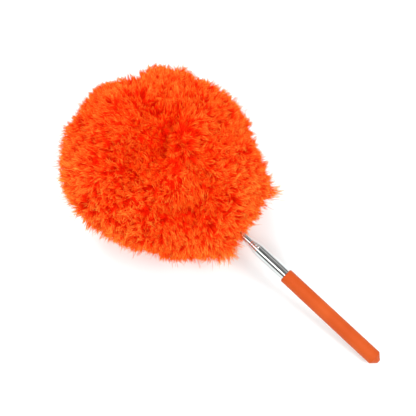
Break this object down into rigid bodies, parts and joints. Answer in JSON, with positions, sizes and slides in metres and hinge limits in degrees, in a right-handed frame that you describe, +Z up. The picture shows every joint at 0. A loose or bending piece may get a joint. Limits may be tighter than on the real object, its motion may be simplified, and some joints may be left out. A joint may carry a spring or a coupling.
{
  "type": "telescopic feather duster",
  "caption": "Duster with a fluffy round head of fibre plumes on a pushed-together telescopic metal pole and a slim soft grip, lying on its side.",
  "frame": {"origin": "centre of the object's box, on the table it lies on", "axes": "+X runs with the pole from the grip towards the head, +Z is up from the table"},
  "size_m": [0.3026, 0.156, 0.1134],
  "materials": {
    "grip_rubber": "matt soft-touch, orange",
    "tube_steel": "polished stainless tube",
    "turned_brass": "turned",
    "plug_plastic": "moulded, black",
    "socket_plastic": "moulded, orange",
    "pin_steel": "plain",
    "collar_steel": "crimped",
    "core_cord": "twisted cord, red-orange",
    "plume_fibre": "loose fine fibre, bright orange"
  },
  "bodies": {
    "handle": {"handle_grip": "grip_rubber", "base_plug": "plug_plastic", "pole_tube_1": "tube_steel"},
    "sleeve_2": {"friction_spring_2": "turned_brass"},
    "stage_2": {"pole_tube_2": "tube_steel", "foot_plug_2": "turned_brass"},
    "sleeve_3": {"friction_spring_3": "turned_brass"},
    "stage_3": {"pole_tube_3": "tube_steel", "foot_plug_3": "turned_brass"},
    "sleeve_4": {"friction_spring_4": "turned_brass"},
    "stage_4": {"pole_tube_4": "tube_steel", "foot_plug_4": "turned_brass"},
    "sleeve_5": {"friction_spring_5": "turned_brass"},
    "head": {"pole_tube_5": "tube_steel", "foot_plug_5": "turned_brass", "head_socket": "socket_plastic", "socket_pin": "pin_steel", "core_collar": "collar_steel", "plume_1": "plume_fibre", "plume_2": "plume_fibre", "plume_3": "plume_fibre", "plume_4": "plume_fibre", "plume_5": "plume_fibre", "plume_6": "plume_fibre", "plume_7": "plume_fibre", "plume_8": "plume_fibre", "plume_core_1": "core_cord", "plume_core_2": "core_cord", "plume_core_3": "core_cord", "plume_core_4": "core_cord", "plume_core_5": "core_cord", "plume_core_6": "core_cord", "plume_core_7": "core_cord", "plume_core_8": "core_cord"}
  },
  "joints": [
    {"name": "slide_2", "type": "slide", "parent": "handle", "child": "sleeve_2", "axis": [0.9781, 0, 0.2079], "range_m": [0, 0.1059]},
    {"name": "twist_2", "type": "hinge", "parent": "sleeve_2", "child": "stage_2", "pos_m": [-0.1345, 0, 0.00831], "axis": [0.9781, 0, 0.2079], "continuous": true},
    {"name": "slide_3", "type": "slide", "parent": "stage_2", "child": "sleeve_3", "axis": [0.9781, 0, 0.2079], "range_m": [0, 0.1015]},
    {"name": "twist_3", "type": "hinge", "parent": "sleeve_3", "child": "stage_3", "pos_m": [-0.12805, 0, 0.00969], "axis": [0.9781, 0, 0.2079], "continuous": true},
    {"name": "slide_4", "type": "slide", "parent": "stage_3", "child": "sleeve_4", "axis": [0.9781, 0, 0.2079], "range_m": [0, 0.0971]},
    {"name": "twist_4", "type": "hinge", "parent": "sleeve_4", "child": "stage_4", "pos_m": [-0.12159, 0, 0.01106], "axis": [0.9781, 0, 0.2079], "continuous": true},
    {"name": "slide_5", "type": "slide", "parent": "stage_4", "child": "sleeve_5", "axis": [0.9781, 0, 0.2079], "range_m": [0, 0.0927]},
    {"name": "twist_5", "type": "hinge", "parent": "sleeve_5", "child": "head", "pos_m": [-0.11514, 0, 0.01243], "axis": [0.9781, 0, 0.2079], "continuous": true}
  ]
}
